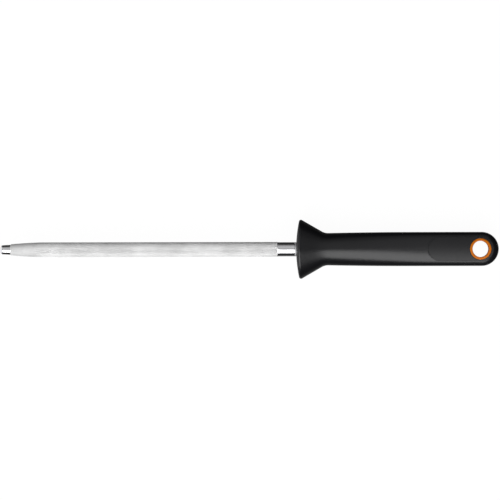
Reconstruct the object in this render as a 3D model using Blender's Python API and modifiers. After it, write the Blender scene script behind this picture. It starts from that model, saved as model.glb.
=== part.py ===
"""Knife sharpening steel: a grooved rod, a two-material handle with a flared guard, and a hanging ring.

Metres, +Z up. The rod lies along X with its tip at -X, and the flat sides of the handle face +Z and -Z.
The origin is at the middle of the object, on the surface that the rim of the hand guard touches.
Run it with: blender --background --python part.py
"""

import math

import bmesh
import bpy

MM = 0.001

# Stations along the rod's axis, measured from its tip
TIP_CHAMFER_END = 1.4 * MM
TIP_POLISH_END = 6.8 * MM
TIP_STEP_END = 7.3 * MM
TAPER_END = 28.5 * MM
GROOVE_END = 187.6 * MM
ROD_SHOULDER = 199.2 * MM
GUARD_RIM = 203.7 * MM
FLATTENING_START = 212.0 * MM
GRIP_FULL_WIDTH = 271.0 * MM
TANG_END = 275.0 * MM
PANEL_ROUND_CENTRE = 297.65 * MM
FLATTENING_END = 305.0 * MM
RING_CENTRE = 325.2 * MM
BUTT_CENTRE = 326.1 * MM

# The steel rod and its tang
ROD_RADIUS = 4.95 * MM
TIP_FACE_RADIUS = 2.0 * MM
TIP_CHAMFER_RADIUS = 3.05 * MM
TIP_SHOULDER_RADIUS = 3.35 * MM
TAPER_DEPTH = 1.215 * MM
TAPER_POWER = 1.55
TAPER_RINGS = 5
SHOULDER_RADIUS = 4.8 * MM
GROOVE_COUNT = 60
GROOVE_DEPTH = 0.22 * MM
GROOVE_LAND = 0.05 * MM
GROOVE_END_CHAMFER = 0.2 * MM
TANG_RADIUS = 3.5 * MM
TANG_NOTCH_RADIUS = 2.8 * MM
TANG_NOTCH_LENGTH = 4.0 * MM
TANG_NOTCH_SPACING = 20.0 * MM
TANG_NOTCH_COUNT = 3
TANG_CHAMFER = 0.8 * MM
WASHER_THICKNESS = 0.8 * MM

# The handle: a rigid core, under a soft skin that also covers the guard
GUARD_RADIUS = 20.0 * MM
GUARD_HALF_HEIGHT = 16.0 * MM
GUARD_BOW = 1.25 * MM
GUARD_EDGE = 1.4 * MM
GUARD_DOME = 95.0 * MM
GUARD_CONE_ANGLE = math.radians(30)
FLARE_ANGLE = math.radians(17.5)
FLARE_END = 229.0 * MM
NECK_RADIUS = 10.93 * MM
NECK_FILLET = 9.0 * MM
GRIP_HALF_WIDTH = 11.5 * MM
GRIP_SWELL_POWER = 1.7
BUTT_FLATNESS = 0.59
FLATTENING_POWER = 1.25
SQUARING_POWER = 4
ROUND_EXPONENT = 2.0
BUTT_EXPONENT = 2.5
SKIN = 1.0 * MM
PANEL_RADIUS = 8.0 * MM
PANEL_RECESS = 0.45 * MM
PANEL_CROWN = 42.0 * MM
RING_OUTER_RADIUS = 7.25 * MM
RING_BORE_RADIUS = 5.5 * MM
RING_LIP = 0.6 * MM

GAP = 0.3 * MM
OVERSHOOT = 5.0 * MM
MERGE = 0.000001

# How finely round shapes are faceted
GRIP_SIDES = 40
RING_SIDES = 40
DOME_RINGS = 3
GUARD_EDGE_STEPS = 3
CONE_STEPS = 3
FILLET_STEPS = 4
GRIP_STEPS = 12
BUTT_STEPS = 8
STADIUM_STEPS = 12
PANEL_SHARES = (0.1, 0.4, 0.7, 1.0)

TOTAL_LENGTH = BUTT_CENTRE + GRIP_HALF_WIDTH
# A flat of the guard's rim, not a corner, touches the surface under it
AXIS_HEIGHT = GUARD_HALF_HEIGHT * math.cos(math.pi / GRIP_SIDES)


def clear_scene():
    """Removes whatever the scene holds."""
    for obj in list(bpy.data.objects):
        bpy.data.objects.remove(obj, do_unlink=True)


def new_collection(name):
    """Makes a collection in the scene."""
    collection = bpy.data.collections.new(name)
    bpy.context.scene.collection.children.link(collection)
    return collection


def new_material(name, colour, roughness, metallic=0.0):
    """Makes a plain Principled material."""
    material = bpy.data.materials.new(name)
    material.use_nodes = True
    shader = material.node_tree.nodes["Principled BSDF"]
    shader.inputs["Base Color"].default_value = (*colour, 1.0)
    shader.inputs["Roughness"].default_value = roughness
    shader.inputs["Metallic"].default_value = metallic
    return material


def add_part(name, mesh, parent, collection, material):
    """Places a mesh in the assembly as one named piece."""
    piece = bpy.data.objects.new(name, mesh)
    piece.parent = parent
    mesh.materials.append(material)
    collection.objects.link(piece)
    return piece


def add_cutter(name, mesh, parent, collection):
    """Places a mesh that only shapes other pieces."""
    cutter = bpy.data.objects.new(name, mesh)
    cutter.parent = parent
    cutter.hide_render = True
    cutter.display_type = "WIRE"
    collection.objects.link(cutter)
    return cutter


def combine(piece, other, operation):
    """Adds a Boolean modifier that joins another shape to a piece, or cuts it away."""
    modifier = piece.modifiers.new(f"{operation.lower()} {other.name}", "BOOLEAN")
    modifier.operation = operation
    modifier.object = other


def shade_round(mesh, angle):
    """Shades a mesh smooth, apart from edges sharper than the angle."""
    mesh.shade_smooth()
    mesh.set_sharp_from_angle(angle=math.radians(angle))


def profile_mesh(name, profile, closed=False):
    """A wire of points along a profile, for a Screw modifier to turn."""
    edges = [(i, i + 1) for i in range(len(profile) - 1)]
    if closed:
        edges.append((len(profile) - 1, 0))
    mesh = bpy.data.meshes.new(name)
    mesh.from_pydata(profile, edges, [])
    return mesh


def turn(piece, axis, sides):
    """Turns a piece's profile about its own axis."""
    screw = piece.modifiers.new("turn", "SCREW")
    screw.axis = axis
    screw.steps = sides
    screw.render_steps = sides
    screw.use_smooth_shade = True
    screw.use_merge_vertices = True
    screw.merge_threshold = MERGE


def turned_about_rod(stations):
    """Profile points at +Y, from the far end to the tip, for a shape turned about the rod."""
    return [(x, radius, 0.0) for x, radius in reversed(stations)]


def extruded_mesh(name, outlines, half_depth):
    """A solid mesh from flat outlines, the first one solid and the others holes in it."""
    curve = bpy.data.curves.new(name, "CURVE")
    curve.dimensions = "2D"
    curve.fill_mode = "BOTH"
    curve.extrude = half_depth
    for outline in outlines:
        spline = curve.splines.new("POLY")
        spline.points.add(len(outline) - 1)
        for point, (x, y) in zip(spline.points, outline):
            point.co = (x, y, 0.0, 1.0)
        spline.use_cyclic_u = True
    guide = bpy.data.objects.new(name, curve)
    bpy.context.scene.collection.objects.link(guide)
    evaluated = guide.evaluated_get(bpy.context.evaluated_depsgraph_get())
    mesh = bpy.data.meshes.new_from_object(evaluated)
    bpy.data.objects.remove(guide)
    solid = bmesh.new()
    solid.from_mesh(mesh)
    bmesh.ops.remove_doubles(solid, verts=solid.verts, dist=MERGE)
    bmesh.ops.recalc_face_normals(solid, faces=solid.faces)
    solid.to_mesh(mesh)
    solid.free()
    return mesh


def lofted_mesh(name, rings, end_point=None):
    """A closed skin over rings of equal point counts, flat at the start, flat or pointed at the end."""
    loft = bmesh.new()
    loops = [[loft.verts.new(point) for point in ring] for ring in rings]
    count = len(loops[0])
    for ring, following in zip(loops, loops[1:]):
        for i in range(count):
            j = (i + 1) % count
            loft.faces.new((ring[i], following[i], following[j], ring[j]))
    loft.faces.new(loops[0])
    if end_point:
        pole = loft.verts.new(end_point)
        for i in range(count):
            loft.faces.new((loops[-1][i], pole, loops[-1][(i + 1) % count]))
    else:
        loft.faces.new(loops[-1])
    bmesh.ops.triangulate(loft, faces=[face for face in loft.faces if len(face.verts) > 4])
    bmesh.ops.recalc_face_normals(loft, faces=loft.faces)
    mesh = bpy.data.meshes.new(name)
    loft.to_mesh(mesh)
    loft.free()
    return mesh


def between(start, end, steps):
    """Evenly spaced values from the start to the end, both included."""
    return [start + (end - start) * i / steps for i in range(steps + 1)]


def grip_half_width(x):
    """Half the grip's width, which swells slowly from the neck to its full width."""
    left = max(0.0, (GRIP_FULL_WIDTH - x) / (GRIP_FULL_WIDTH - neck_end()))
    return GRIP_HALF_WIDTH - (GRIP_HALF_WIDTH - NECK_RADIUS) * left**GRIP_SWELL_POWER


def flattening(x):
    """How far the grip has changed from round, 0, to its flat-sided butt, 1."""
    share = (x - FLATTENING_START) / (FLATTENING_END - FLATTENING_START)
    return math.sin(math.pi / 2 * min(1.0, max(0.0, share))) ** FLATTENING_POWER


def grip_half_thickness(x):
    """Half the grip's thickness, between its two flat sides."""
    return grip_half_width(x) * (1.0 - (1.0 - BUTT_FLATNESS) * flattening(x))


def section_exponent(x):
    """The exponent of the handle's superellipse section."""
    return ROUND_EXPONENT + (BUTT_EXPONENT - ROUND_EXPONENT) * flattening(x) ** SQUARING_POWER


def cone_start():
    """Where the guard's rounded edge meets its cone, as a station and a radius."""
    x = GUARD_RIM + GUARD_EDGE * math.sin(GUARD_CONE_ANGLE)
    radius = GUARD_RADIUS - GUARD_EDGE * (1.0 - math.cos(GUARD_CONE_ANGLE))
    return x, radius


def neck_end():
    """The station where the fillet behind the guard meets the grip."""
    x, radius = cone_start()
    corner = x + (radius - NECK_RADIUS) / math.tan(GUARD_CONE_ANGLE)
    return corner + NECK_FILLET * math.tan(GUARD_CONE_ANGLE / 2)


def handle_half_thickness(x):
    """Half the handle's thickness behind the guard's rim: the grip's, and a flare that fades into it."""
    start, radius = cone_start()
    rise = radius * GUARD_HALF_HEIGHT / GUARD_RADIUS - grip_half_thickness(start)
    slope = math.tan(FLARE_ANGLE)
    corner = start + rise / slope
    fillet = (FLARE_END - corner) / math.tan(FLARE_ANGLE / 2)
    if x > FLARE_END:
        flare = 0.0
    elif x > FLARE_END - fillet * math.sin(FLARE_ANGLE):
        flare = fillet - math.sqrt(fillet**2 - (FLARE_END - x) ** 2)
    else:
        flare = (corner - x) * slope
    return grip_half_thickness(x) + flare


def guard_bow(x):
    """How far the guard is bowed towards the tip over the handle's flat sides."""
    start = cone_start()[0]
    return GUARD_BOW * (neck_end() - max(x, start)) / (neck_end() - start)


def guard_outline():
    """The dome and rim: station, half width and thickness, the normal's two parts, and the bow."""
    edge_centre_radius = GUARD_RADIUS - GUARD_EDGE
    dome_reach = GUARD_DOME - GUARD_EDGE
    dome_centre = GUARD_RIM + math.sqrt(dome_reach**2 - edge_centre_radius**2)
    dome_end = math.asin(edge_centre_radius / dome_reach)
    flatness = GUARD_HALF_HEIGHT / GUARD_RADIUS
    outline = []
    for i in range(DOME_RINGS):
        angle = math.pi - dome_end * (i + 0.4) / DOME_RINGS
        normal = (math.cos(angle), math.sin(angle))
        radius = GUARD_DOME * normal[1]
        bow = GUARD_BOW * (radius / GUARD_RADIUS) ** 2
        outline.append((dome_centre + GUARD_DOME * normal[0], radius, radius * flatness, *normal, bow))
    edge = between(math.pi - dome_end, math.pi / 2, GUARD_EDGE_STEPS) + [math.pi / 2 - GUARD_CONE_ANGLE]
    for angle in edge:
        normal = (math.cos(angle), math.sin(angle))
        x = GUARD_RIM + GUARD_EDGE * normal[0]
        radius = edge_centre_radius + GUARD_EDGE * normal[1]
        bow = GUARD_BOW * (radius / GUARD_RADIUS) ** 2
        outline.append((x, radius, radius * flatness, *normal, bow))
    return outline


def neck_outline():
    """The guard's cone and the fillet behind it, in the same form as the guard's outline."""
    start, radius = cone_start()
    normal = (math.sin(GUARD_CONE_ANGLE), math.cos(GUARD_CONE_ANGLE))
    fillet_start = neck_end() - NECK_FILLET * math.sin(GUARD_CONE_ANGLE)
    outline = []
    for x in between(start, fillet_start, CONE_STEPS)[1:-1]:
        half_width = radius - (x - start) * math.tan(GUARD_CONE_ANGLE)
        outline.append((x, half_width, handle_half_thickness(x), *normal, guard_bow(x)))
    for angle in between(math.pi / 2 - GUARD_CONE_ANGLE, math.pi / 2, FILLET_STEPS):
        normal = (math.cos(angle), math.sin(angle))
        x = neck_end() - NECK_FILLET * normal[0]
        half_width = NECK_RADIUS + NECK_FILLET * (1.0 - normal[1])
        outline.append((x, half_width, handle_half_thickness(x), *normal, guard_bow(x)))
    return outline


def grip_outline():
    """The grip, from the neck to the centre of the rounded butt, in the same form."""
    stations = between(neck_end(), BUTT_CENTRE, GRIP_STEPS)[1:]
    return [(x, grip_half_width(x), handle_half_thickness(x), 0.0, 1.0, 0.0) for x in stations]


def handle_section(x, half_width, half_thickness, exponent, bow=0.0, past_butt_centre=0.0):
    """One ring of the handle. Round the butt, the edge's shape is the same as along the sides."""
    width = math.sqrt(half_width**2 - past_butt_centre**2)
    ring = []
    for i in range(GRIP_SIDES):
        angle = 2 * math.pi * (i + 0.5) / GRIP_SIDES
        y = width * abs(math.cos(angle)) ** (2 / exponent)
        inward = math.hypot(past_butt_centre, y) / half_width
        rise = (1.0 - inward**exponent) ** (1 / exponent)
        z = half_thickness * rise
        ring.append((x - bow * rise**2, math.copysign(y, math.cos(angle)), math.copysign(z, math.sin(angle))))
    return ring


def handle_mesh(name, inset):
    """The handle's whole outer form, moved in by the inset."""
    rings = []
    for x, half_width, half_thickness, normal_x, normal_out, bow in (
        guard_outline() + neck_outline() + grip_outline()
    ):
        rings.append(
            handle_section(
                x - inset * normal_x,
                half_width - inset * normal_out,
                half_thickness - inset * normal_out,
                section_exponent(x),
                bow,
            )
        )
    radius = GRIP_HALF_WIDTH - inset
    thickness = GRIP_HALF_WIDTH * BUTT_FLATNESS - inset
    for angle in between(0.0, math.pi / 2, BUTT_STEPS)[1:-1]:
        past = radius * math.sin(angle)
        rings.append(handle_section(BUTT_CENTRE + past, radius, thickness, BUTT_EXPONENT, 0.0, past))
    return lofted_mesh(name, rings, end_point=(BUTT_CENTRE + radius, 0.0, 0.0))


def stadium(radius):
    """An outline with straight sides and round ends, about the label panel's two end centres."""
    outline = []
    for centre, start in ((BUTT_CENTRE, -math.pi / 2), (PANEL_ROUND_CENTRE, math.pi / 2)):
        for angle in between(start, start + math.pi, STADIUM_STEPS):
            outline.append((centre + radius * math.cos(angle), radius * math.sin(angle)))
    return outline


def panel_height(x, y):
    """Height of the gently crowned label panel above the axis."""
    past = max(0.0, x - BUTT_CENTRE)
    return grip_half_thickness(x) - PANEL_RECESS - (past**2 + y**2) / (2 * PANEL_CROWN)


def panels_mesh(name):
    """A block that fills both windows of the skin, with a crowned face on either side."""
    faces = []
    for share in PANEL_SHARES:
        outline = stadium(share * PANEL_RADIUS)
        faces.append([(x, y, panel_height(x, y)) for x, y in outline])
    under = [[(x, y, -z) for x, y, z in ring] for ring in reversed(faces)]
    return lofted_mesh(name, faces + under)


def taper_radius(x):
    """Radius of the ground point behind the polished tip."""
    left = (TAPER_END - x) / (TAPER_END - TIP_POLISH_END)
    return ROD_RADIUS - TAPER_DEPTH * left**TAPER_POWER


def make_steel_rod(parent, parts, cutters, material):
    """The bar: polished tip, tapered point, grooved length, polished shoulder, and tang in the handle."""
    stations = [
        (0.0, 0.0),
        (0.0, TIP_FACE_RADIUS),
        (TIP_CHAMFER_END, TIP_CHAMFER_RADIUS),
        (TIP_POLISH_END, TIP_SHOULDER_RADIUS),
    ]
    stations += [(x, taper_radius(x)) for x in between(TIP_STEP_END, TAPER_END, TAPER_RINGS)]
    stations += [
        (GROOVE_END - GROOVE_END_CHAMFER, ROD_RADIUS),
        (GROOVE_END, SHOULDER_RADIUS),
        (ROD_SHOULDER, SHOULDER_RADIUS),
        (ROD_SHOULDER, TANG_RADIUS),
    ]
    stations += tang_stations(0.0)
    mesh = profile_mesh("steel_rod", turned_about_rod(stations))
    rod = add_part("steel_rod", mesh, parent, parts, material)
    turn(rod, "X", GROOVE_COUNT)
    combine(rod, make_groove_cutter(parent, cutters), "DIFFERENCE")


def tang_stations(clearance):
    """The notched tang from its first notch to its end, or the hole for it with some clearance."""
    stations = []
    for i in range(1, TANG_NOTCH_COUNT + 1):
        start = ROD_SHOULDER + i * TANG_NOTCH_SPACING
        end = start + TANG_NOTCH_LENGTH
        stations += [
            (start + clearance, TANG_RADIUS + clearance),
            (start + clearance, TANG_NOTCH_RADIUS + clearance),
            (end - clearance, TANG_NOTCH_RADIUS + clearance),
            (end - clearance, TANG_RADIUS + clearance),
        ]
    return stations + [
        (TANG_END - TANG_CHAMFER + clearance, TANG_RADIUS + clearance),
        (TANG_END + clearance, TANG_RADIUS - TANG_CHAMFER + clearance),
        (TANG_END + clearance, 0.0),
    ]


def make_groove_cutter(parent, cutters):
    """A fluted sleeve round the rod. Its grooves run out by themselves where the point tapers."""
    outer = 2 * ROD_RADIUS
    circle = []
    flutes = []
    for i in range(2 * GROOVE_COUNT):
        angle = math.pi * i / GROOVE_COUNT
        reach = ROD_RADIUS - GROOVE_DEPTH if i % 2 else ROD_RADIUS + GROOVE_LAND
        circle.append((outer * math.cos(angle), outer * math.sin(angle)))
        flutes.append((reach * math.cos(angle), reach * math.sin(angle)))
    end = GROOVE_END - GROOVE_END_CHAMFER / 2
    mesh = extruded_mesh("groove_cutter", [circle, flutes], (end - TIP_POLISH_END) / 2)
    cutter = add_cutter("groove_cutter", mesh, parent, cutters)
    cutter.location.x = (end + TIP_POLISH_END) / 2
    cutter.rotation_euler = (math.pi / 2, 0.0, math.pi / 2)
    return cutter


def make_shoulder_washer(parent, parts, material):
    """The thin ring between the rod's shoulder and the guard."""
    near = ROD_SHOULDER + GAP
    far = near + WASHER_THICKNESS
    bore = TANG_RADIUS + GAP
    outer = SHOULDER_RADIUS
    profile = [(far, bore, 0.0), (far, outer, 0.0), (near, outer, 0.0), (near, bore, 0.0)]
    mesh = profile_mesh("shoulder_washer", profile, closed=True)
    washer = add_part("shoulder_washer", mesh, parent, parts, material)
    turn(washer, "X", RING_SIDES)


def make_hanging_ring(parent, parts, material):
    """The sleeve that lines the hole in the butt, with rounded lips."""
    half = panel_height(RING_CENTRE, 0.0)
    outer = RING_OUTER_RADIUS
    bore = RING_BORE_RADIUS
    wall_side = half - RING_LIP
    outside = [(outer - RING_LIP, half), (outer, wall_side), (outer, -wall_side), (outer - RING_LIP, -half)]
    inside = [(bore + RING_LIP, -half), (bore, -wall_side), (bore, wall_side), (bore + RING_LIP, half)]
    profile = [(radius, 0.0, z) for radius, z in outside + inside]
    mesh = profile_mesh("hanging_ring", profile, closed=True)
    ring = add_part("hanging_ring", mesh, parent, parts, material)
    ring.location.x = RING_CENTRE
    turn(ring, "Z", RING_SIDES)


def make_tang_cutter(parent, cutters):
    """The hole that the tang fills, open at the front of the handle."""
    front = ROD_SHOULDER - OVERSHOOT
    stations = [(front, 0.0), (front, TANG_RADIUS + GAP)] + tang_stations(GAP)
    mesh = profile_mesh("tang_cutter", turned_about_rod(stations))
    cutter = add_cutter("tang_cutter", mesh, parent, cutters)
    turn(cutter, "X", RING_SIDES)
    return cutter


def make_eye_cutter(parent, cutters):
    """The hole through the butt for the hanging ring."""
    reach = RING_OUTER_RADIUS + GAP
    height = GRIP_HALF_WIDTH
    profile = [(0.0, 0.0, height), (reach, 0.0, height), (reach, 0.0, -height), (0.0, 0.0, -height)]
    cutter = add_cutter("eye_cutter", profile_mesh("eye_cutter", profile), parent, cutters)
    cutter.location.x = RING_CENTRE
    turn(cutter, "Z", RING_SIDES)
    return cutter


def make_handle_core(parent, parts, cutters, tang_cutter, material):
    """The rigid core moulded round the tang, with the label panels and the eye."""
    mesh = handle_mesh("handle_core", SKIN + GAP)
    shade_round(mesh, 30)
    core = add_part("handle_core", mesh, parent, parts, material)
    panels = add_cutter("label_panels", panels_mesh("label_panels"), parent, cutters)
    combine(core, panels, "UNION")
    combine(core, make_eye_cutter(parent, cutters), "DIFFERENCE")
    combine(core, tang_cutter, "DIFFERENCE")


def make_soft_grip(parent, parts, cutters, tang_cutter, material):
    """The soft skin over the core and the guard, with a window on each side for the label panels."""
    mesh = handle_mesh("soft_grip", 0.0)
    shade_round(mesh, 30)
    grip = add_part("soft_grip", mesh, parent, parts, material)
    cavity = add_cutter("core_cavity_cutter", handle_mesh("core_cavity_cutter", SKIN), parent, cutters)
    window_mesh = extruded_mesh("window_cutter", [stadium(PANEL_RADIUS + GAP)], GRIP_HALF_WIDTH)
    windows = add_cutter("window_cutter", window_mesh, parent, cutters)
    combine(grip, cavity, "DIFFERENCE")
    combine(grip, windows, "DIFFERENCE")
    combine(grip, tang_cutter, "DIFFERENCE")


def build():
    """Builds the sharpening steel."""
    clear_scene()
    parts = new_collection("knife_sharpening_steel")
    cutters = new_collection("cutters")
    tip = bpy.data.objects.new("rod_tip", None)
    tip.location = (-TOTAL_LENGTH / 2, 0.0, AXIS_HEIGHT)
    parts.objects.link(tip)
    grooved_steel = new_material("grooved_steel", (0.78, 0.78, 0.78), 0.50, 1.0)
    satin_steel = new_material("satin_steel", (0.72, 0.72, 0.73), 0.40, 1.0)
    core_plastic = new_material("core_plastic", (0.007, 0.007, 0.008), 0.42)
    grip_plastic = new_material("grip_plastic", (0.006, 0.006, 0.007), 0.38)
    orange_plastic = new_material("orange_plastic", (0.52, 0.13, 0.003), 0.30)
    tang_cutter = make_tang_cutter(tip, cutters)
    make_steel_rod(tip, parts, cutters, grooved_steel)
    make_shoulder_washer(tip, parts, satin_steel)
    make_handle_core(tip, parts, cutters, tang_cutter, core_plastic)
    make_soft_grip(tip, parts, cutters, tang_cutter, grip_plastic)
    make_hanging_ring(tip, parts, orange_plastic)


build()
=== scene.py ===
"""Looks of the knife sharpening steel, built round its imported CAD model."""

import math

import bmesh
import bpy
import numpy as np
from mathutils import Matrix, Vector


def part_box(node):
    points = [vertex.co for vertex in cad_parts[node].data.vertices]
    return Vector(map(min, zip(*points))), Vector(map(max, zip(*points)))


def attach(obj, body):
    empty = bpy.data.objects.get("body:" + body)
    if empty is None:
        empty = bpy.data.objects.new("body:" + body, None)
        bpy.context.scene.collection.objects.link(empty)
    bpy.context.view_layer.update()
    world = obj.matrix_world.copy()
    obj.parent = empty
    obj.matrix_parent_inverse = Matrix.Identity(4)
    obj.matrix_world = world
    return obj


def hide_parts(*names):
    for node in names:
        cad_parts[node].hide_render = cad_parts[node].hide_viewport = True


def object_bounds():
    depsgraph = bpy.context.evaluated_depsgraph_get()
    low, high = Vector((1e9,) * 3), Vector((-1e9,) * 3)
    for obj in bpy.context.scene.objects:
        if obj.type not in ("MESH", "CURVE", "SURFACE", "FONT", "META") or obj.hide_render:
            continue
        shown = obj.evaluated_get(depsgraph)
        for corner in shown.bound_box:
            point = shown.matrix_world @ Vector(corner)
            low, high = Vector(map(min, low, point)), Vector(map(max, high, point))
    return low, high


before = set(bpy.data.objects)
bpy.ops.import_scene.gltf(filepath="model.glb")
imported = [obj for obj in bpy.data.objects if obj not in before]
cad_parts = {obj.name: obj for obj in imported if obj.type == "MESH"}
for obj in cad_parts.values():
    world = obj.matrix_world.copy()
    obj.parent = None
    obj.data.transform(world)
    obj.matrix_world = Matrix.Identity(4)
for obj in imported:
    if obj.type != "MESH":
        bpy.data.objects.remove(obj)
CAD_LOW, CAD_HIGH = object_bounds()
MM = 0.001

# The rod's axis in the row frame. Every piece below is made in axis coordinates:
# x from the tip, y across the handle and z above the axis.
ROD_LOW, ROD_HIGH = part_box("steel_rod")
GRIP_LOW, GRIP_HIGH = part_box("soft_grip")
RING_LOW, RING_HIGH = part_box("hanging_ring")
WASHER_LOW, WASHER_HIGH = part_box("shoulder_washer")
TIP = Vector((ROD_LOW.x, (ROD_LOW.y + ROD_HIGH.y) / 2, (ROD_LOW.z + ROD_HIGH.z) / 2))

# Stations along the axis
TIP_POLISH_END = 6.8 * MM
TAPER_END = 28.5 * MM
GROOVE_END = 187.6 * MM
ROD_SHOULDER = WASHER_LOW.x - TIP.x
WASHER_END = WASHER_HIGH.x - TIP.x
GUARD_RIM = 203.7 * MM
FLATTENING_START = 212.0 * MM
GRIP_FULL_WIDTH = 271.0 * MM
TANG_END = ROD_HIGH.x - TIP.x
PANEL_ROUND_CENTRE = 297.65 * MM
FLATTENING_END = 305.0 * MM
RING_CENTRE = (RING_LOW.x + RING_HIGH.x) / 2 - TIP.x
GRIP_END = GRIP_HIGH.x - TIP.x

# Radii and thicknesses
ROD_RADIUS = (ROD_HIGH.z - ROD_LOW.z) / 2
TANG_RADIUS = 3.5 * MM
SHOULDER_RADIUS = (WASHER_HIGH.z - WASHER_LOW.z) / 2
GUARD_RADIUS = 20.0 * MM
GUARD_HALF_HEIGHT = 16.0 * MM
GUARD_BOW = 1.25 * MM
GUARD_EDGE = 1.4 * MM
GUARD_DOME = 95.0 * MM
DOME_FLAT_SHARE = 0.1
GUARD_CONE_ANGLE = math.radians(30)
FLARE_ANGLE = math.radians(19.3)
FLARE_END = 229.0 * MM
NECK_RADIUS = 10.93 * MM
NECK_FILLET = 9.0 * MM
GRIP_HALF_WIDTH = 11.5 * MM
BUTT_CENTRE = GRIP_END - GRIP_HALF_WIDTH
BUTT_FLATNESS = 0.59
BUTT_EXPONENT = 2.5
SKIN = 1.0 * MM
CORE_GAP = 0.3 * MM
PANEL_RADIUS = 8.08 * MM
PANEL_RECESS = 0.45 * MM
PANEL_CROWN = 42.0 * MM
PANEL_SEAM = 0.02 * MM
EDGE_ROUND = 0.10 * MM
RING_OUTER_RADIUS = 7.22 * MM
RING_BORE_RADIUS = 5.5 * MM
RING_SEAM = 0.04 * MM

# How the handle's form changes along it
SWELL_POWER = 1.7
FLATTENING_POWER = 1.25
SQUARING_POWER = 4

# The bar's polished tip, tapered point and grooves
TIP_END_RADIUS = 2.05 * MM
TIP_END_ROUND = 0.3 * MM
TIP_CHAMFER = ((0.8 * MM, 2.62 * MM), (1.25 * MM, 2.98 * MM))
TIP_SIDE_START = 1.6 * MM
TIP_SIDE_RADIUS = 3.09 * MM
TIP_SIDE_SLOPE = 0.05
TIP_STEP = ((TIP_POLISH_END, 3.33 * MM, False), (TIP_POLISH_END + 0.06 * MM, 3.42 * MM, True))
TAPER_DEPTH = 1.215 * MM
TAPER_POWER = 1.55
TAPER_STEP = 0.35 * MM
TAPER_SHOULDER = 0.3 * MM
TAPER_SHOULDER_LENGTH = 0.4 * MM
STRAIGHT_START = 34.0 * MM
GROOVE_COUNT = 60
GROOVE_DEPTH = 0.16 * MM
GROOVE_UNEVENNESS = (0.7, 1.5)
GROOVE_LAND = 0.03 * MM
TANG_CHAMFER = 0.8 * MM
SEAM_TOLERANCE = 0.01 * MM

# Openings that the tang passes through
SKIN_HOLE_RADIUS = 4.2 * MM
HOLE_LEAD = 3.0 * MM
SKIN_HOLE_DEPTH = 9.0 * MM

# The washer and the hanging ring
WASHER_FRONT_GAP = 0.08 * MM
WASHER_SEAT = 0.2 * MM
WASHER_ROUND = 0.15 * MM
RING_STANDS_OUT = 0.25 * MM
RING_LIP_DEPTH = 0.75 * MM
RING_LIP_POWER = 0.6

# Fineness of the meshes
POINTS_PER_GROOVE = 8
GRIP_SIDES = 192
CORE_SIDES = 96
CUTTER_SIDES = 96
WASHER_SIDES = 128
RING_SIDES = 160
SKIN_DETAIL = 6
CORE_DETAIL = 3

# Noise textures vary about one half. These ranges take most of that, for colours and for roughness.
TINT_RANGE = (0.35, 0.65)
ROUGHNESS_RANGE = (0.3, 0.7)
PLASTIC_DARK = (0.004, 0.004, 0.0052)
PLASTIC_LIGHT = (0.006, 0.006, 0.0075)

# The studio
WORLD_BASE = 0.02
FLOOR_REACH = 40.0
FLOOR_GAP = 0.05 * MM
VIEW_MARGIN = 1.00321
CAMERA_X = 0.34 * MM
CAMERA_Y = -0.44 * MM
CAMERA_ROLL = math.radians(-0.11)


def new_piece(name, mesh, node, materials):
    """A shown piece that stands for a CAD node and rides on the part's one body."""
    piece = bpy.data.objects.new(name, mesh)
    bpy.context.scene.collection.objects.link(piece)
    piece.location = TIP
    for material in materials:
        mesh.materials.append(material)
    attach(piece, "root")
    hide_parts(node)
    return piece


def closed_mesh(name, vertices, faces):
    """A mesh whose faces look outward, with every face of more than four sides cut into triangles."""
    mesh = bpy.data.meshes.new(name)
    mesh.from_pydata(vertices, [], faces)
    solid = bmesh.new()
    solid.from_mesh(mesh)
    bmesh.ops.triangulate(solid, faces=[face for face in solid.faces if len(face.verts) > 4])
    bmesh.ops.recalc_face_normals(solid, faces=solid.faces)
    solid.to_mesh(mesh)
    solid.free()
    return mesh


def grid_mesh(name, rings, end_points=(None, None)):
    """A closed mesh over rings of equal point counts. An end is a point, or else it is filled flat."""
    count = len(rings[0])
    vertices = [tuple(point) for ring in rings for point in ring]
    faces = []
    for k in range(len(rings) - 1):
        for i in range(count):
            j = (i + 1) % count
            faces.append((k * count + i, (k + 1) * count + i, (k + 1) * count + j, k * count + j))
    last = (len(rings) - 1) * count
    for end, start in zip(end_points, (0, last)):
        ring = list(range(start, start + count))
        if end is None:
            faces.append(ring)
            continue
        vertices.append(tuple(end))
        pole = len(vertices) - 1
        faces += [(ring[i], ring[(i + 1) % count], pole) for i in range(count)]
    return closed_mesh(name, vertices, faces)


def shade(mesh, angle):
    """Smooth shading, apart from edges sharper than the angle."""
    mesh.shade_smooth()
    mesh.set_sharp_from_angle(angle=math.radians(angle))


def cut(name, base, cutters):
    """The base mesh after each (mesh, operation), as one plain mesh."""
    worked = bpy.data.objects.new(name, base)
    bpy.context.scene.collection.objects.link(worked)
    helpers = [worked]
    for mesh, operation in cutters:
        helper = bpy.data.objects.new(mesh.name, mesh)
        bpy.context.scene.collection.objects.link(helper)
        helpers.append(helper)
        modifier = worked.modifiers.new(mesh.name, "BOOLEAN")
        modifier.operation = operation
        modifier.object = helper
    evaluated = worked.evaluated_get(bpy.context.evaluated_depsgraph_get())
    result = bpy.data.meshes.new_from_object(evaluated)
    result.name = name
    for helper in helpers:
        bpy.data.objects.remove(helper)
    return result


def round_over(size, degrees):
    """Points round a quarter circle of this size, as distances from the two faces that it joins."""
    angles = [math.radians(angle) for angle in degrees]
    return [(size * (1 - math.cos(angle)), size * (1 - math.sin(angle))) for angle in angles]


# The handle's form


def cone_start():
    """Where the guard's rounded edge meets its cone, as a station and a radius."""
    x = GUARD_RIM + GUARD_EDGE * math.sin(GUARD_CONE_ANGLE)
    radius = GUARD_RADIUS - GUARD_EDGE * (1.0 - math.cos(GUARD_CONE_ANGLE))
    return x, radius


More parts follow.
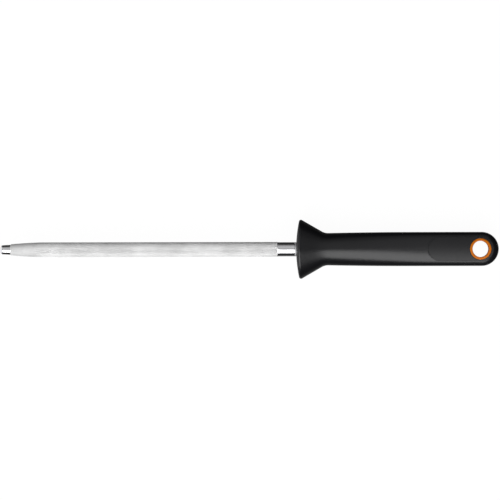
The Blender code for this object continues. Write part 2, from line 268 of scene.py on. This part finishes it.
def neck_end():
    """The station where the fillet behind the guard meets the grip."""
    x, radius = cone_start()
    corner = x + (radius - NECK_RADIUS) / math.tan(GUARD_CONE_ANGLE)
    return corner + NECK_FILLET * math.tan(GUARD_CONE_ANGLE / 2)


def grip_half_width(x):
    """Half the grip's width, which swells slowly from the neck to its full width."""
    left = max(0.0, (GRIP_FULL_WIDTH - x) / (GRIP_FULL_WIDTH - neck_end()))
    return GRIP_HALF_WIDTH - (GRIP_HALF_WIDTH - NECK_RADIUS) * left**SWELL_POWER


def flattening(x):
    """How far the handle has changed from round, 0, to its flat-sided butt, 1."""
    share = (x - FLATTENING_START) / (FLATTENING_END - FLATTENING_START)
    return math.sin(math.pi / 2 * min(1.0, max(0.0, share))) ** FLATTENING_POWER


def grip_half_thickness(x):
    """Half the grip's thickness, between its two flat sides."""
    return grip_half_width(x) * (1.0 - (1.0 - BUTT_FLATNESS) * flattening(x))


def handle_half_thickness(x):
    """Half the handle's thickness behind the guard's rim: the grip's, and a flare that fades into it."""
    start, radius = cone_start()
    rise = radius * GUARD_HALF_HEIGHT / GUARD_RADIUS - grip_half_thickness(start)
    slope = math.tan(FLARE_ANGLE)
    corner = start + rise / slope
    fillet = (FLARE_END - corner) / math.tan(FLARE_ANGLE / 2)
    if x > FLARE_END:
        flare = 0.0
    elif x > FLARE_END - fillet * math.sin(FLARE_ANGLE):
        flare = fillet - math.sqrt(fillet**2 - (FLARE_END - x) ** 2)
    else:
        flare = (corner - x) * slope
    return grip_half_thickness(x) + flare


def guard_bow(x, radius):
    """How far the guard is bowed towards the tip over the handle's flat sides."""
    start, cone_radius = cone_start()
    if x < start:
        return GUARD_BOW * (radius / cone_radius) ** 2
    return GUARD_BOW * max(0.0, neck_end() - x) / (neck_end() - start)


def exponent(x):
    """The exponent of the handle's superellipse section."""
    return 2.0 + (BUTT_EXPONENT - 2.0) * flattening(x) ** SQUARING_POWER


def skin_height(x, y):
    """Height of the skin's outer face above the axis, on the grip and the butt."""
    past = max(0.0, x - BUTT_CENTRE)
    width = grip_half_width(x)
    inward = min(1.0, math.hypot(past, y) / width)
    power = exponent(x)
    return grip_half_thickness(x) * (1.0 - inward**power) ** (1 / power)


def panel_height(x, y):
    """Height of the gently crowned label panel above the axis."""
    past = max(0.0, x - BUTT_CENTRE)
    return grip_half_thickness(x) - PANEL_RECESS - (past**2 + y**2) / (2 * PANEL_CROWN)


def handle_outline(detail):
    """Stations from the guard's dome to the butt's centre: x, radius or half width, and outward normal."""
    edge_radius = GUARD_RADIUS - GUARD_EDGE
    reach = GUARD_DOME - GUARD_EDGE
    dome_centre = GUARD_RIM + math.sqrt(reach**2 - edge_radius**2)
    dome_end = math.asin(edge_radius / reach)
    outline = []
    for angle in np.linspace(math.pi - DOME_FLAT_SHARE * dome_end, math.pi - dome_end, 5 * detail)[:-1]:
        nx, nr = math.cos(angle), math.sin(angle)
        outline.append((dome_centre + GUARD_DOME * nx, GUARD_DOME * nr, nx, nr))
    cone_normal = math.pi / 2 - GUARD_CONE_ANGLE
    for angle in np.linspace(math.pi - dome_end, cone_normal, 4 * detail):
        nx, nr = math.cos(angle), math.sin(angle)
        outline.append((GUARD_RIM + GUARD_EDGE * nx, edge_radius + GUARD_EDGE * nr, nx, nr))
    start, radius = cone_start()
    fillet_x, fillet_radius = neck_end(), NECK_RADIUS + NECK_FILLET
    fillet_start = fillet_x - NECK_FILLET * math.cos(cone_normal)
    nx, nr = math.cos(cone_normal), math.sin(cone_normal)
    for x in np.linspace(start, fillet_start, 4 * detail)[1:-1]:
        outline.append((x, radius - (x - start) * math.tan(GUARD_CONE_ANGLE), nx, nr))
    for angle in np.linspace(cone_normal, math.pi / 2, 3 * detail):
        nx, nr = math.cos(angle), math.sin(angle)
        outline.append((fillet_x - NECK_FILLET * nx, fillet_radius - NECK_FILLET * nr, nx, nr))
    for x in np.linspace(fillet_x, BUTT_CENTRE, 20 * detail)[1:]:
        outline.append((x, grip_half_width(x), 0.0, 1.0))
    return outline


def handle_ring(x, half_width, half_thickness, power, bow, past, sides):
    """One ring of the handle. Round the butt, the edge's shape is the same as along the sides."""
    angles = 2 * np.pi * (np.arange(sides) + 0.5) / sides
    width = math.sqrt(max(0.0, half_width**2 - past**2))
    y = width * np.abs(np.cos(angles)) ** (2 / power)
    inward = np.clip(np.hypot(past, y) / half_width, 0.0, 1.0)
    rise = (1.0 - inward**power) ** (1 / power)
    z = half_thickness * rise
    return np.stack([x - bow * rise**2, np.copysign(y, np.cos(angles)), np.copysign(z, np.sin(angles))], 1)


def handle_mesh(name, inset, sides, detail):
    """The handle's whole outer form, moved in by the inset."""
    rings = []
    guard_end = cone_start()[0]
    for x, half_width, nx, nr in handle_outline(detail):
        if x < guard_end:
            half_thickness = half_width * GUARD_HALF_HEIGHT / GUARD_RADIUS
        else:
            half_thickness = handle_half_thickness(x)
        bow = guard_bow(x, half_width)
        width, thickness = half_width - inset * nr, half_thickness - inset * nr
        rings.append(handle_ring(x - inset * nx, width, thickness, exponent(x), bow, 0.0, sides))
    radius = GRIP_HALF_WIDTH - inset
    thickness = GRIP_HALF_WIDTH * BUTT_FLATNESS - inset
    for angle in np.linspace(0.0, math.pi / 2, 8 * detail)[1:-1]:
        past = radius * math.sin(angle)
        rings.append(handle_ring(BUTT_CENTRE + past, radius, thickness, BUTT_EXPONENT, 0.0, past, sides))
    return grid_mesh(name, rings, (None, (BUTT_CENTRE + radius, 0.0, 0.0)))


def stadium(radius, steps=48):
    """Points round an outline with straight sides and round ends, about the panel's two end centres."""
    points = []
    butt, front = BUTT_CENTRE, PANEL_ROUND_CENTRE
    for centre, other, start in ((butt, front, -math.pi / 2), (front, butt, math.pi / 2)):
        for step in range(steps + 1):
            angle = start + math.pi * step / steps
            points.append((centre + radius * math.cos(angle), radius * math.sin(angle)))
        run = other - centre
        side = math.copysign(radius, -run)
        points += [(centre + run * k / steps, side) for k in range(1, steps)]
    return points


def circle(radius):
    """Points round a circle about the hanging ring's centre."""
    angles = [2 * math.pi * k / RING_SIDES for k in range(RING_SIDES)]
    return [(RING_CENTRE + radius * math.cos(a), radius * math.sin(a)) for a in angles]


def through_cutter(name, outline_of, radius, lip, height_of):
    """A cutter through both faces of the handle, flared at each face so that it leaves a rounded lip."""
    # Each step is a distance out from the wall and a height above the face. The first two clear the face.
    steps = [(lip + 0.3 * MM, 3.0 * MM), (lip + 0.1 * MM, 0.05 * MM)]
    steps += [(out, -drop) for out, drop in round_over(lip, (70, 55, 40, 25, 10, 0))]
    upper = []
    for out, rise in steps:
        # The lip follows the face's height at the wall, so that it is as wide everywhere
        ring = []
        for (x, y), (wall_x, wall_y) in zip(outline_of(radius + out), outline_of(radius + lip)):
            ring.append((x, y, height_of(wall_x, wall_y) + rise))
        upper.append(ring)
    lower = [[(x, y, -z) for x, y, z in ring] for ring in reversed(upper)]
    return grid_mesh(name, upper + lower)


def tang_cutter(name, radius, end):
    """A round cutter about the rod's axis, from in front of the guard to the given station."""
    start = WASHER_END - HOLE_LEAD
    angles = 2 * np.pi * np.arange(CUTTER_SIDES) / CUTTER_SIDES
    y, z = radius * np.cos(angles), radius * np.sin(angles)
    rings = [np.stack([np.full(CUTTER_SIDES, x), y, z], 1) for x in (start, end)]
    return grid_mesh(name, rings, ((start, 0, 0), (end, 0, 0)))


def make_skin(material):
    """The soft skin, from the guard's dome to the butt."""
    outer = handle_mesh("skin_outer", 0.0, GRIP_SIDES, SKIN_DETAIL)
    cavity = handle_mesh("skin_cavity", SKIN, CORE_SIDES, CORE_DETAIL)
    windows = through_cutter("skin_windows", stadium, PANEL_RADIUS + PANEL_SEAM, EDGE_ROUND, skin_height)
    hole = tang_cutter("skin_hole", SKIN_HOLE_RADIUS, WASHER_END + SKIN_HOLE_DEPTH)
    mesh = cut("soft_grip_skin", outer, [(cutter, "DIFFERENCE") for cutter in (cavity, windows, hole)])
    shade(mesh, 32)
    return new_piece("soft_grip_skin", mesh, "soft_grip", [material])


def make_core(material):
    """The rigid core, of which the two label panels show."""
    body = handle_mesh("core_body", SKIN + CORE_GAP, CORE_SIDES, CORE_DETAIL)
    faces = []
    for share in (0.04, 0.15, 0.3, 0.45, 0.6, 0.75, 0.88, 0.96):
        points = stadium(share * (PANEL_RADIUS - EDGE_ROUND))
        faces.append([(x, y, panel_height(x, y)) for x, y in points])
    for inward, drop in round_over(EDGE_ROUND, (90, 70, 50, 30, 12, 0)):
        points = stadium(PANEL_RADIUS - inward)
        faces.append([(x, y, panel_height(x, y) - drop) for x, y in points])
    under = [[(x, y, -z) for x, y, z in ring] for ring in reversed(faces)]
    panels = grid_mesh("core_panels", faces + under)
    eye = through_cutter("core_eye", circle, RING_OUTER_RADIUS + RING_SEAM, EDGE_ROUND, panel_height)
    tang = tang_cutter("core_tang_hole", TANG_RADIUS + CORE_GAP, TANG_END + CORE_GAP)
    mesh = cut("rigid_core", body, [(panels, "UNION"), (eye, "DIFFERENCE"), (tang, "DIFFERENCE")])
    shade(mesh, 32)
    return new_piece("rigid_core", mesh, "handle_core", [material])


# The steel bar, its washer and the hanging ring


def taper_radius(x):
    """The rod's radius behind the polished tip, before its grooves."""
    left = max(0.0, (TAPER_END - x) / (TAPER_END - TIP_POLISH_END))
    ogive = TAPER_DEPTH * left**TAPER_POWER
    shoulder = TAPER_SHOULDER * math.exp(-(x - TIP_POLISH_END) / TAPER_SHOULDER_LENGTH)
    return ROD_RADIUS - ogive - shoulder


def rod_stations():
    """(x, radius, grooved) down the whole bar, from its tip to the end of its tang."""
    end_flat = TIP_END_RADIUS - TIP_END_ROUND
    stations = [(0.0, end_flat - 0.1 * MM, False)]
    for along, inward in round_over(TIP_END_ROUND, (0, 25, 50, 75)):
        stations.append((along, TIP_END_RADIUS - inward, False))
    stations += [(x, radius, False) for x, radius in TIP_CHAMFER]
    for along in (0.0, 0.8 * MM, 2.4 * MM, 4.0 * MM, 5.0 * MM):
        stations.append((TIP_SIDE_START + along, TIP_SIDE_RADIUS + TIP_SIDE_SLOPE * along, False))
    stations += TIP_STEP
    for x in np.arange(TIP_POLISH_END + TAPER_STEP, STRAIGHT_START, TAPER_STEP):
        stations.append((x, taper_radius(x), True))
    for x in np.linspace(STRAIGHT_START, GROOVE_END, 10):
        stations.append((x, ROD_RADIUS, True))
    stations.append((GROOVE_END + 0.2 * MM, SHOULDER_RADIUS, False))
    for x in np.linspace(GROOVE_END + 2 * MM, ROD_SHOULDER - 0.15 * MM, 5):
        stations.append((x, SHOULDER_RADIUS, False))
    stations.append((ROD_SHOULDER, SHOULDER_RADIUS - 0.1 * MM, False))
    stations.append((ROD_SHOULDER + 0.02 * MM, TANG_RADIUS, False))
    stations.append((TANG_END - TANG_CHAMFER, TANG_RADIUS, False))
    stations.append((TANG_END, TANG_RADIUS - TANG_CHAMFER, False))
    return stations


def make_rod(grooved, polished):
    """The bar: polished tip and shoulder, and lengthwise grooves that run out on the tapered point."""
    count = GROOVE_COUNT * POINTS_PER_GROOVE
    angles = 2 * np.pi * np.arange(count) / count
    across = np.abs(np.arange(count) % POINTS_PER_GROOVE / POINTS_PER_GROOVE * 2 - 1)
    depths = GROOVE_DEPTH * np.random.default_rng(7).uniform(*GROOVE_UNEVENNESS, GROOVE_COUNT)
    depth = np.repeat(depths, POINTS_PER_GROOVE)
    grooves = ROD_RADIUS + GROOVE_LAND - (depth + GROOVE_LAND) * (1.0 - across)
    rings = []
    for x, radius, is_grooved in rod_stations():
        reach = np.minimum(grooves, radius) if is_grooved else np.full(count, radius)
        rings.append(np.stack([np.full(count, x), reach * np.cos(angles), reach * np.sin(angles)], 1))
    mesh = grid_mesh("steel_bar", rings, ((0, 0, 0), (TANG_END, 0, 0)))
    centres = np.zeros(len(mesh.polygons) * 3)
    mesh.polygons.foreach_get("center", centres)
    x = centres.reshape(-1, 3)[:, 0]
    tip = x < TIP_POLISH_END + SEAM_TOLERANCE
    shoulder = (x > GROOVE_END + SEAM_TOLERANCE) & (x < ROD_SHOULDER + SEAM_TOLERANCE)
    mesh.polygons.foreach_set("material_index", (tip | shoulder).astype(np.int32))
    shade(mesh, 28)
    return new_piece("steel_bar", mesh, "steel_rod", [grooved, polished])


def make_washer(material):
    """The thin ring between the rod's shoulder and the guard."""
    start, end = ROD_SHOULDER + WASHER_FRONT_GAP, WASHER_END + WASHER_SEAT
    bore = TANG_RADIUS + CORE_GAP
    edge = round_over(WASHER_ROUND, (0, 30, 60, 90))
    profile = [(start, bore)]
    profile += [(start + along, SHOULDER_RADIUS - inward) for along, inward in edge]
    profile += [(end - along, SHOULDER_RADIUS - inward) for along, inward in reversed(edge)]
    profile.append((end, bore))
    mesh = revolved_ring("pale_washer", profile, WASHER_SIDES, axis="x")
    shade(mesh, 40)
    return new_piece("pale_washer", mesh, "shoulder_washer", [material])


def revolved_ring(name, profile, turns, axis):
    """A ring with a closed (along, radius) profile, turned about X, or about Z through the hanging ring."""
    angles = 2 * np.pi * np.arange(turns) / turns
    vertices = []
    for along, radius in profile:
        for angle in angles:
            across, up = radius * math.cos(angle), radius * math.sin(angle)
            if axis == "x":
                vertices.append((along, across, up))
            else:
                vertices.append((RING_CENTRE + across, up, along))
    faces = []
    for k in range(len(profile)):
        following = (k + 1) % len(profile)
        for i in range(turns):
            j = (i + 1) % turns
            faces.append((k * turns + i, following * turns + i, following * turns + j, k * turns + j))
    return closed_mesh(name, vertices, faces)


def make_ring(material):
    """The orange sleeve, whose lips swell gently and follow the panel's crown."""
    half = panel_height(RING_CENTRE, 0.0) + RING_STANDS_OUT
    middle = (RING_OUTER_RADIUS + RING_BORE_RADIUS) / 2
    wall = (RING_OUTER_RADIUS - RING_BORE_RADIUS) / 2
    lip = []
    for degrees in range(0, 181, 12):
        angle = math.radians(degrees)
        out = math.copysign(abs(math.cos(angle)) ** RING_LIP_POWER, math.cos(angle))
        drop = RING_LIP_DEPTH * (1 - math.sin(angle) ** RING_LIP_POWER)
        lip.append((half - drop, middle + wall * out))
    profile = lip + [(-along, radius) for along, radius in reversed(lip)]
    mesh = revolved_ring("orange_ring", profile, RING_SIDES, axis="z")
    for vertex in mesh.vertices:
        sink = vertex.co.y**2 / (2 * PANEL_CROWN)
        vertex.co.z -= math.copysign(sink, vertex.co.z)
    shade(mesh, 40)
    return new_piece("orange_ring", mesh, "hanging_ring", [material])


# Materials


def principled(name, colour, roughness, metallic=0.0):
    """A material's node tree and its Principled shader."""
    material = bpy.data.materials.new(name)
    material.use_nodes = True
    tree = material.node_tree
    shader = tree.nodes["Principled BSDF"]
    shader.inputs["Base Color"].default_value = (*colour, 1.0)
    shader.inputs["Roughness"].default_value = roughness
    shader.inputs["Metallic"].default_value = metallic
    return material, tree, shader


def noise(tree, scale, stretch=(1, 1, 1), detail=4.0, roughness=0.55):
    """A noise texture in the piece's own coordinates, with features about 1/scale metres long."""
    place = tree.nodes.new("ShaderNodeTexCoord")
    mapping = tree.nodes.new("ShaderNodeMapping")
    mapping.inputs["Scale"].default_value = stretch
    texture = tree.nodes.new("ShaderNodeTexNoise")
    texture.inputs["Scale"].default_value = scale
    texture.inputs["Detail"].default_value = detail
    texture.inputs["Roughness"].default_value = roughness
    tree.links.new(place.outputs["Object"], mapping.inputs["Vector"])
    tree.links.new(mapping.outputs["Vector"], texture.inputs["Vector"])
    return texture.outputs["Fac"]


def along_axis(tree):
    """Distance along the rod from its tip."""
    place = tree.nodes.new("ShaderNodeTexCoord")
    parts = tree.nodes.new("ShaderNodeSeparateXYZ")
    tree.links.new(place.outputs["Object"], parts.inputs["Vector"])
    return parts.outputs["X"]


def combine(tree, operation, first, second):
    """The sum, product or larger of two values."""
    node = tree.nodes.new("ShaderNodeMath")
    node.operation = operation
    tree.links.new(first, node.inputs[0])
    tree.links.new(second, node.inputs[1])
    return node.outputs["Value"]


def spread(tree, value, low, high, out_low, out_high):
    """Maps a value from one range to another."""
    node = tree.nodes.new("ShaderNodeMapRange")
    node.inputs["From Min"].default_value = low
    node.inputs["From Max"].default_value = high
    node.inputs["To Min"].default_value = out_low
    node.inputs["To Max"].default_value = out_high
    tree.links.new(value, node.inputs["Value"])
    return node.outputs["Result"]


def tint(tree, shader, value, dark, light):
    """Colours a shader between two colours, as the noise value varies."""
    share = spread(tree, value, *TINT_RANGE, 0, 1)
    mix = tree.nodes.new("ShaderNodeMix")
    mix.data_type = "RGBA"
    mix.inputs["A"].default_value = (*dark, 1.0)
    mix.inputs["B"].default_value = (*light, 1.0)
    tree.links.new(share, mix.inputs["Factor"])
    tree.links.new(mix.outputs["Result"], shader.inputs["Base Color"])


def roughen(tree, shader, value, low, high, extra=None):
    """Varies a shader's roughness with the noise value, and adds an extra amount to it if one is given."""
    rough = spread(tree, value, *ROUGHNESS_RANGE, low, high)
    if extra:
        rough = combine(tree, "ADD", rough, extra)
    tree.links.new(rough, shader.inputs["Roughness"])


def add_bump(tree, shader, layers):
    """Chains bumps, each (height, strength, distance), onto a shader."""
    normal = None
    for height, strength, distance in layers:
        bump = tree.nodes.new("ShaderNodeBump")
        bump.inputs["Strength"].default_value = strength
        bump.inputs["Distance"].default_value = distance
        tree.links.new(height, bump.inputs["Height"])
        if normal:
            tree.links.new(normal, bump.inputs["Normal"])
        normal = bump.outputs["Normal"]
    tree.links.new(normal, shader.inputs["Normal"])


def grooved_steel():
    """Satin steel with fine lengthwise drawing marks, a little duller on the tapered point."""
    material, tree, shader = principled("grooved_steel", (0.8, 0.8, 0.8), 0.55, 1.0)
    streaks = noise(tree, 60, stretch=(1, 40, 40), detail=6)
    patches = noise(tree, 90, detail=3)
    tint(tree, shader, patches, (0.79, 0.79, 0.79), (0.87, 0.87, 0.87))
    point = spread(tree, along_axis(tree), TAPER_END - 6 * MM, TAPER_END + 2 * MM, 0.14, 0.0)
    roughen(tree, shader, streaks, 0.74, 0.86, point)
    scratches = noise(tree, 260, stretch=(1, 5, 5), detail=5, roughness=0.7)
    add_bump(tree, shader, [(streaks, 0.25, 0.02 * MM), (scratches, 0.35, 0.15 * MM)])
    return material


def polished_steel():
    """Bright steel with very faint turning marks round it."""
    material, tree, shader = principled("polished_steel", (0.88, 0.88, 0.90), 0.08, 1.0)
    rings = noise(tree, 400, stretch=(8, 0.02, 0.02), detail=3)
    smears = noise(tree, 150, detail=4)
    tint(tree, shader, smears, (0.86, 0.86, 0.88), (0.90, 0.90, 0.92))
    roughen(tree, shader, smears, 0.06, 0.12)
    add_bump(tree, shader, [(rings, 0.06, 0.01 * MM)])
    return material


def satin_steel():
    """Pale steel, turned across and left satin."""
    material, tree, shader = principled("satin_steel", (0.75, 0.75, 0.76), 0.45, 1.0)
    turned = noise(tree, 900, stretch=(6, 0.1, 0.1), detail=3)
    smears = noise(tree, 200, detail=4)
    tint(tree, shader, smears, (0.70, 0.70, 0.71), (0.78, 0.78, 0.79))
    roughen(tree, shader, turned, 0.60, 0.70)
    add_bump(tree, shader, [(turned, 0.15, 0.01 * MM)])
    return material


def moulded_plastic(name, roughness, grain, strength, front_rough=0.0, specular=0.5):
    """Black moulded plastic with a fine even grain, which can be rougher on the guard's domed front."""
    material, tree, shader = principled(name, PLASTIC_LIGHT, roughness[0])
    shader.inputs["Specular IOR Level"].default_value = specular
    cloud = noise(tree, 45, detail=3)
    fine = noise(tree, grain, detail=2, roughness=0.5)
    broad = noise(tree, grain / 5, detail=3)
    tint(tree, shader, cloud, PLASTIC_DARK, PLASTIC_LIGHT)
    front = spread(tree, along_axis(tree), GUARD_RIM - 2.2 * MM, GUARD_RIM - 1.0 * MM, front_rough, 0.0)
    roughen(tree, shader, broad, *roughness, front)
    add_bump(tree, shader, [(broad, strength * 0.4, 0.05 * MM), (fine, strength, 0.02 * MM)])
    return material


def orange_plastic():
    """Smooth orange plastic."""
    material, tree, shader = principled("ring_plastic", (0.54, 0.135, 0.001), 0.4)
    shader.inputs["Specular IOR Level"].default_value = 0.15
    cloud = noise(tree, 220, detail=3)
    fine = noise(tree, 3000, detail=2)
    tint(tree, shader, cloud, (0.52, 0.125, 0.0005), (0.56, 0.145, 0.001))
    roughen(tree, shader, cloud, 0.38, 0.46)
    add_bump(tree, shader, [(fine, 0.08, 0.01 * MM)])
    return material


# The studio


def add_area(name, direction, distance, size, radiance):
    """A white soft box that faces the object. Its direction is two angles from overhead, toward +Y and +X."""
    tilt, swing = (math.radians(angle) for angle in direction)
    away = Vector((math.sin(swing), math.sin(tilt) * math.cos(swing), math.cos(tilt) * math.cos(swing)))
    light = bpy.data.lights.new(name, "AREA")
    light.shape = "RECTANGLE"
    light.size, light.size_y = size
    light.energy = radiance * math.pi * size[0] * size[1]
    lamp = bpy.data.objects.new(name, light)
    bpy.context.scene.collection.objects.link(lamp)
    lamp.location = Vector((0, 0, TIP.z)) + distance * away
    lamp.rotation_euler = away.to_track_quat("Z", "Y").to_euler()
    lamp.visible_camera = False


def world_light(tree):
    """Dim surroundings, paler below, as over a pale floor, most of all towards -Y. The camera sees white."""
    place = tree.nodes.new("ShaderNodeTexCoord")
    parts = tree.nodes.new("ShaderNodeSeparateXYZ")
    tree.links.new(place.outputs["Generated"], parts.inputs["Vector"])
    side = spread(tree, parts.outputs["Y"], -1.0, 0.2, 0.01, 0.0)
    below = spread(tree, parts.outputs["Z"], -1.0, -0.45, 1.0, 0.0)
    below = combine(tree, "MULTIPLY", below, spread(tree, parts.outputs["Y"], -0.25, 0.25, 0.32, 0.10))
    rays = tree.nodes.new("ShaderNodeLightPath")
    seen = combine(tree, "MAXIMUM", combine(tree, "ADD", side, below), rays.outputs["Is Camera Ray"])
    base = tree.nodes.new("ShaderNodeMath")
    base.inputs[1].default_value = WORLD_BASE
    tree.links.new(seen, base.inputs[0])
    tree.links.new(base.outputs["Value"], tree.nodes["Background"].inputs["Strength"])


def make_lights():
    """A strong soft box on the -Y side, weaker ones on the +Y side and past the tip, and dim surroundings."""
    add_area("key_strip", (-35.5, -2), 1.0, (1.3, 1.05), 3.25)
    add_area("top_fill", (28, 0), 1.0, (1.6, 0.9), 0.47)
    add_area("back_fill", (65, 0), 1.0, (1.6, 0.42), 0.25)
    add_area("tip_card", (0, -97), 0.9, (1.6, 1.8), 0.9)
    world = bpy.data.worlds.new("studio")
    bpy.context.scene.world = world
    world.use_nodes = True
    world.node_tree.nodes["Background"].inputs["Color"].default_value = (1, 1, 1, 1)
    world_light(world.node_tree)


def make_stage():
    """A plain pale floor under the guard's rim."""
    floor_mesh = bpy.data.meshes.new("floor")
    corners = [(-FLOOR_REACH, -FLOOR_REACH), (FLOOR_REACH, -FLOOR_REACH)]
    corners += [(FLOOR_REACH, FLOOR_REACH), (-FLOOR_REACH, FLOOR_REACH)]
    floor_mesh.from_pydata([(x, y, 0) for x, y in corners], [], [(0, 1, 2, 3)])
    floor = bpy.data.objects.new("floor", floor_mesh)
    bpy.context.scene.collection.objects.link(floor)
    floor.location.z = CAD_LOW.z - FLOOR_GAP
    material, _, shader = principled("floor", (0.04, 0.04, 0.04), 0.9)
    shader.inputs["Emission Color"].default_value = (1, 1, 1, 1)
    shader.inputs["Emission Strength"].default_value = 0.96
    floor_mesh.materials.append(material)
    floor.visible_glossy = False
    floor.visible_diffuse = False
    floor.visible_shadow = False


def make_camera():
    """Straight above the handle's flat side, through a long lens."""
    data = bpy.data.cameras.new("camera")
    data.lens = 400
    data.sensor_width = 36
    data.clip_end = 100
    view_width = (CAD_HIGH.x - CAD_LOW.x) * VIEW_MARGIN
    camera = bpy.data.objects.new("camera", data)
    bpy.context.scene.collection.objects.link(camera)
    camera.location = (CAMERA_X, CAMERA_Y, TIP.z + view_width * data.lens / data.sensor_width)
    camera.rotation_euler = (0, 0, CAMERA_ROLL)
    bpy.context.scene.camera = camera


make_camera()
make_rod(grooved_steel(), polished_steel())
make_washer(satin_steel())
make_skin(moulded_plastic("soft_plastic", (0.30, 0.34), 2600, 0.10, front_rough=0.3))
make_core(moulded_plastic("core_plastic", (0.39, 0.45), 3500, 0.08, specular=0.4))
make_ring(orange_plastic())
make_lights()
make_stage()
bpy.context.scene.view_settings.view_transform = "Standard"
